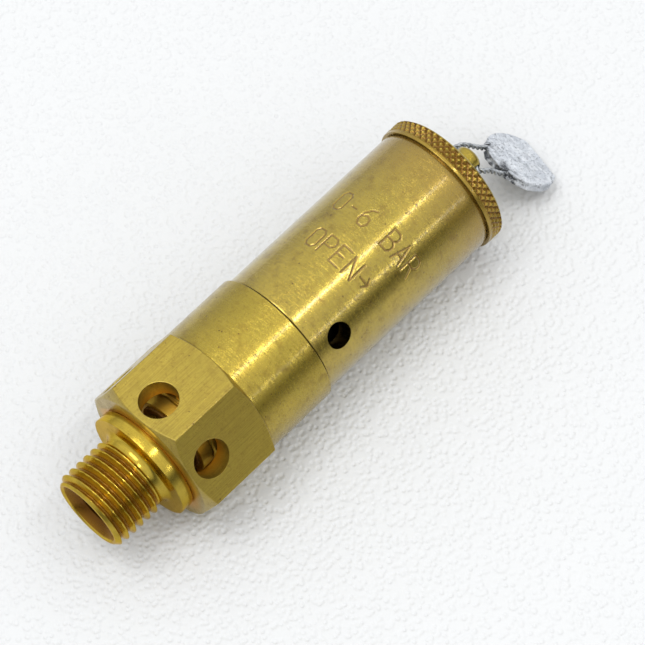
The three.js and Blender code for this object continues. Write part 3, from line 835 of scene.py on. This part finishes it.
def lifting_cap(materials):
    rows = 26
    knurl = [(KNURL_0 + (KNURL_1 - KNURL_0) * k / rows, CAP_R) for k in range(rows + 1)]
    bevel = arc(CAP_1 - 0.45, CAP_R - 0.75, 0.45, 80, 0, 6)
    outline = [
        (CAP_HUB_X, CAP_WELL_R), (CAP_HUB_X, CAP_HUB_R - 0.12), (CAP_HUB_X + 0.12, CAP_HUB_R),
        (CAP_0 - 0.2, CAP_HUB_R), (CAP_0 - 0.2, CAP_R - 0.95), (CAP_0, CAP_R - 0.95), (CAP_0, CAP_R - 0.3),
        (CAP_0, CAP_R - 0.12), (CAP_0 + 0.04, CAP_R - 0.07), (CAP_0 + 0.1, CAP_R - 0.05),
        (KNURL_0 - 0.14, CAP_R - 0.05), (KNURL_0 - 0.08, CAP_R - 0.09),
        *knurl, (KNURL_1 + 0.08, CAP_R - 0.22), *bevel, (CAP_1, CAP_R - 1.1), (CAP_1, CAP_HOLE + 0.12),
        (CAP_1 - 0.12, CAP_HOLE), (CAP_0 + 1.2, CAP_HOLE), (CAP_0 + 1.2, CAP_WELL_R),
    ]
    made = turned("knurled_cap", outline, KNURL_COUNT * 12, 0, knurl_relief)
    finish_piece(made, "cap", ["lifting_cap"], materials["knurl"], False, 32)
    ring("lift_ring", "lift_washer", 1.6, "lifter", "bright_steel", materials["steel"], ease=0.1)


# -------------------- lead seal and its twisted wire
SEAL_NORMAL = Vector((0.643, -0.134, 0.754)).normalized()
SEAL_CROP_WAY = Vector((0.7285, -0.198, -0.656))
SEAL_CROP_WAY = (SEAL_CROP_WAY - SEAL_NORMAL * SEAL_CROP_WAY.dot(SEAL_NORMAL)).normalized()
SEAL_SIDE = SEAL_NORMAL.cross(SEAL_CROP_WAY)
SEAL_CENTRE = Vector((93.2, -2.9, -7.72))
SEAL_HOLES = [(y, -math.sqrt(SEAL_R ** 2 - y ** 2)) for y in (3.6, -2.65)]


def on_seal(x, y, z=0.0):
    return SEAL_CENTRE + SEAL_CROP_WAY * x + SEAL_SIDE * y + SEAL_NORMAL * z


def seal_rim(angle):
    """Distance from the seal's middle to its pressed edge: a disc with one straight cropped side."""
    reach_out = SEAL_R - 0.12 * (noise.noise(Vector((3 * math.cos(angle), 3 * math.sin(angle), 4.0))) + 0.35)
    toward = math.cos(angle)
    return min(reach_out, (SEAL_CROP - 0.05) / toward) if toward > 0.3 else reach_out


def seal_dent(spot):
    """How far the lead stands out of the plain disc at a point: broad dents, small dents, pits, torn rim."""
    broad = 0.09 * noise.noise(spot * 0.45)
    small = 0.05 * noise.noise(spot * 1.6 + Vector((7, 0, 3)))
    pit = max(0.0, noise.noise(spot * 2.4 + Vector((0, 9, 0))) - 0.25) * 0.3
    torn = clamped((-3.4 - spot.x) / 1.6)
    ragged = 0.34 * noise.noise(spot * 0.9 + Vector((3, 1, 8)))
    trough = sum(math.exp(-((spot.y - y) / 0.55) ** 2) * clamped((rim + 3.4 - spot.x) / 1.6)
                 for y, rim in SEAL_HOLES)
    return broad + small - pit + torn * (ragged - 0.12) - 0.14 * trough


def lead_seal(materials):
    """A pressed disc of lead: flat faces, round edges, dents all over and a torn, dark rim at its wires.
    Painted shade darkens its side, its underside and the lead round its wire holes.
    """
    around, rings, edge, side = 200, 30, 8, 6
    half, ease = SEAL_T / 2, 0.3
    profile = [(share, 0.0, half) for share in np.linspace(0, 1, rings)[1:]]
    turns = [math.pi / 2 * k / edge for k in range(1, edge + 1)]
    profile += [(1.0, ease * math.sin(t), half - ease * (1 - math.cos(t))) for t in turns]
    profile += [(1.0, ease, (half - ease) * (1 - 2 * k / side)) for k in range(1, side)]
    profile += [(share, out, -z) for share, out, z in reversed(profile[:rings - 1 + edge])]
    verts, grime_and_shade = [], []

    def add(flat, z):
        spot = Vector((flat.x, flat.y, z))
        lean = min(1.0, flat.length / SEAL_R) ** 6 * (1 - abs(z) / half)
        way = Vector((flat.x, flat.y, 0)).normalized() * lean + Vector((0, 0, math.copysign(1 - lean, z)))
        spot += way * (seal_dent(spot) - 0.12)
        spot.z = max(-half, min(half, spot.z))
        verts.append(on_seal(*spot))
        # Darkening: dirt on the torn rim by the wires, and painted shade over all but the top face and round
        # the wire holes.
        torn = clamped((-3.2 - flat.x) / 1.8)
        wall = clamped((half - 0.12 - spot.z) / 0.3)
        patchy = max(0.0, noise.noise(spot * 1.1 + Vector((1, 2, 5))) + 0.3)
        hole = sum(math.exp(-((flat.y - y) ** 2 + (flat.x - rim) ** 2) / 1.2) for y, rim in SEAL_HOLES)
        grime_and_shade.append(min(0.95, wall * (0.22 + torn * patchy * 1.3 + 0.7 * hole)))

    for share, out, z in profile:
        for k in range(around):
            a = 2 * math.pi * k / around
            add(Vector((math.cos(a), math.sin(a), 0)) * ((seal_rim(a) - ease) * share + out), z)
    add(Vector((0, 0, 0)), half)
    add(Vector((0, 0, 0)), -half)
    faces = walls(len(profile), around)
    last = (len(profile) - 1) * around
    for k in range(around):
        faces.append((len(verts) - 2, k, (k + 1) % around))
        faces.append((len(verts) - 1, last + k, last + (k + 1) % around))
    made = formed("pressed_seal", verts, faces)
    set_grime_and_shade(made.data, grime_and_shade)
    basis = Matrix((SEAL_SIDE, SEAL_NORMAL, SEAL_CROP_WAY)).transposed().to_4x4()
    cutters = []
    for y, rim in SEAL_HOLES:
        cut = as_mesh(cone(32, 0.66, 0.55, 3.2), "cutter")
        cut.transform(Matrix.Translation(on_seal(rim + 1.0, y)) @ basis)
        cutters.append(link("cutter", cut))
    combine(made, cutters)
    return finish_piece(made, "seal", ["lead_seal"], materials["lead"], False, 50)


def between(p, q, start, end, t):
    """The point at time t on the straight way from p at start to q at end."""
    return p * (end - t) / (end - start) + q * (t - start) / (end - start)


def smooth_route(points, steps=14):
    """A centripetal Catmull-Rom curve through the points."""
    points = [points[0] * 2 - points[1], *points, points[-1] * 2 - points[-2]]
    route = []
    for i in range(1, len(points) - 2):
        p0, p1, p2, p3 = points[i - 1:i + 3]
        t1 = (p1 - p0).length ** 0.5
        t2 = t1 + (p2 - p1).length ** 0.5
        t3 = t2 + (p3 - p2).length ** 0.5
        for k in range(steps):
            t = t1 + (t2 - t1) * k / steps
            a1, a2 = between(p0, p1, 0, t1, t), between(p1, p2, t1, t2, t)
            a3 = between(p2, p3, t2, t3, t)
            b1, b2 = between(a1, a2, 0, t2, t), between(a2, a3, t1, t3, t)
            route.append(between(b1, b2, t1, t2, t))
    return [*route, points[-2]]


def sealing_wire(materials):
    """Two thin strands twisted together, through the cap nut and back into the seal."""
    (far_y, far_rim), (near_y, near_rim) = SEAL_HOLES
    route = smooth_route([
        on_seal(far_rim + 1.6, far_y), on_seal(far_rim - 0.8, far_y), Vector((86.6, WIRE_OUT + 0.1, -0.9)),
        Vector((WIRE_X, WIRE_OUT, 0)), Vector((WIRE_X, 1.6, 0)), Vector((WIRE_X, -1.6, 0)),
        Vector((WIRE_X, -WIRE_OUT, 0)), Vector((86.2, -WIRE_OUT - 0.5, -1.3)),
        on_seal(near_rim - 0.8, near_y), on_seal(near_rim + 1.6, near_y),
    ])
    strand, twist = WIRE_R * 0.58, 1.9
    up, travelled = Vector((0, 0, 1)), 0.0
    strands = [[], []]
    for i, spot in enumerate(route):
        along = (route[min(i + 1, len(route) - 1)] - route[max(i - 1, 0)]).normalized()
        up = (up - along * up.dot(along)).normalized()
        travelled += (spot - route[max(i - 1, 0)]).length
        a = 2 * math.pi * travelled / twist
        offset = (up * math.cos(a) + along.cross(up) * math.sin(a)) * strand
        strands[0].append(spot + offset)
        strands[1].append(spot - offset)
    made = tube("twisted_wire", strands, strand, 14)
    return finish_piece(made, "seal", ["sealing_wire"], materials["wire"], False, 60)


# -------------------- floor, light and camera
FLOOR_PALE = (0.63, 0.635, 0.64)


def floor():
    """A plain pale sheet with a faint embossed grain. What the metal mirrors of it in front fades away."""
    work = bmesh.new()
    bmesh.ops.create_grid(work, x_segments=1, y_segments=1, size=3.0)
    made = link("floor", as_mesh(work, "floor"))
    s = Shader("pale floor", Roughness=0.9)
    place = s.add("TexCoord").outputs["Object"]
    grain = s.noise(place, 900.0, 4, 0.6)
    emboss = s.add("TexVoronoi", {"Vector": place, "Scale": 1150.0}, feature="SMOOTH_F1").outputs["Distance"]
    cloud = s.noise(place, 60.0, 3, 0.5)
    paper = s.blend(cloud, (*FLOOR_PALE, 1), (*[c * 1.02 for c in FLOOR_PALE], 1))
    away = s.add("VectorMath", {0: place}, operation="LENGTH").outputs["Value"]
    near = s.spread(s.add("SeparateXYZ", {0: place}).outputs[1], 0.0, -0.04)
    mirrored = s.math("MULTIPLY", s.add("LightPath").outputs["Is Glossy Ray"], near)
    faded = s.math("MULTIPLY", mirrored, s.spread(away, 0.03, 0.14, 0.0, 0.7))
    s.set("Base Color", s.blend(faded, paper, (0.0, 0.0, 0.0, 1)))
    s.bump((grain, 0.05), (s.spread(emboss, 0.1, 0.6), 0.13), (cloud, 0.4))
    made.data.materials.append(s.material)


def area_light(name, way, distance, long, wide, power):
    """A soft light that looks at the valve from a direction, its long side along the valve."""
    data = bpy.data.lights.new(name, "AREA")
    data.shape, data.size, data.size_y, data.energy = "RECTANGLE", long, wide, power
    made = link(name, data)
    way = Vector(way).normalized()
    side = (Vector((1, 0, 0)) - way * way.x).normalized()
    turned_to = Matrix((side, way.cross(side), way)).transposed().to_4x4()
    made.matrix_world = Matrix.Translation(way * distance) @ turned_to


def lights():
    """A soft window above, two lamps that draw the streaks along the metal, and a pale room."""
    area_light("window", (-0.2, 0.1, 0.95), 0.9, 0.45, 0.45, 2.2)
    area_light("lamp", (0.21, -0.395, 0.87), 1.1, 0.3, 0.05, 1.05)
    area_light("second_lamp", (0.296, -0.873, 0.4), 1.1, 0.3, 0.03, 0.24)
    world = bpy.data.worlds.new("studio")
    bpy.context.scene.world = world
    world.use_nodes = True
    world.node_tree.nodes.clear()
    n = Nodes(world.node_tree)
    out, background = n.add("OutputWorld"), n.add("Background")
    n.tree.links.new(background.outputs[0], out.inputs[0])
    way = n.add("TexCoord").outputs["Generated"]
    split = n.add("SeparateXYZ", {0: way}).outputs
    path = n.add("LightPath").outputs
    front = n.spread(split["Y"], 0.3, -0.55)
    mirrored = n.math("MULTIPLY", front, path["Is Glossy Ray"])
    dark_band = n.math("MULTIPLY", n.spread(split["Z"], 0.36, 0.1, 0.0, 0.79), mirrored)
    fill = n.math("MULTIPLY", front, path["Is Diffuse Ray"])
    sky = n.spread(split["Z"], -0.1, 0.75, 0.66, 1.15)
    lit = n.math("ADD", 1.0, n.math("MULTIPLY", fill, 0.3))
    room = n.math("MULTIPLY", sky, n.math("SUBTRACT", lit, dark_band))
    seen = path["Is Camera Ray"]
    shown = n.math("MULTIPLY", seen, 0.92)
    unseen = n.math("MULTIPLY", n.math("SUBTRACT", 1.0, seen), room)
    mixed = n.math("ADD", shown, unseen)
    background.inputs["Color"].default_value = (0.985, 0.995, 1.0, 1)
    n.tree.links.new(mixed, background.inputs["Strength"])


def camera():
    """The photograph's view: from above the inlet's side, rolled, with a long lens close to the part."""
    azimuth, elevation, roll = turn(-35.153), turn(59.059), turn(-12.074)
    distance, aim = 0.51146, Vector((-0.001398, -0.003657, 0.012363))
    back = Vector((math.sin(azimuth) * math.cos(elevation), -math.cos(azimuth) * math.cos(elevation),
                   math.sin(elevation)))
    level = Vector((math.cos(azimuth), math.sin(azimuth), 0))
    upright = back.cross(level)
    right = level * math.cos(roll) + upright * math.sin(roll)
    up = upright * math.cos(roll) - level * math.sin(roll)
    data = bpy.data.cameras.new("camera")
    data.lens, data.sensor_width, data.clip_start, data.clip_end = 182.56, 36.0, 0.01, 20.0
    made = link("camera", data)
    turned_to = Matrix((right, up, back)).transposed().to_4x4()
    made.matrix_world = Matrix.Translation(aim + back * distance) @ turned_to
    bpy.context.scene.camera = made


def build():
    camera()
    lights()
    floor()
    materials = make_materials()
    for make in (inlet_nipple, hex_body, outlet_shoulder, spring_housing, spring, inside_pieces, stem_pieces,
                 lifting_cap, lead_seal, sealing_wire):
        make(materials)


bpy.context.scene.view_settings.view_transform = "Standard"
build()
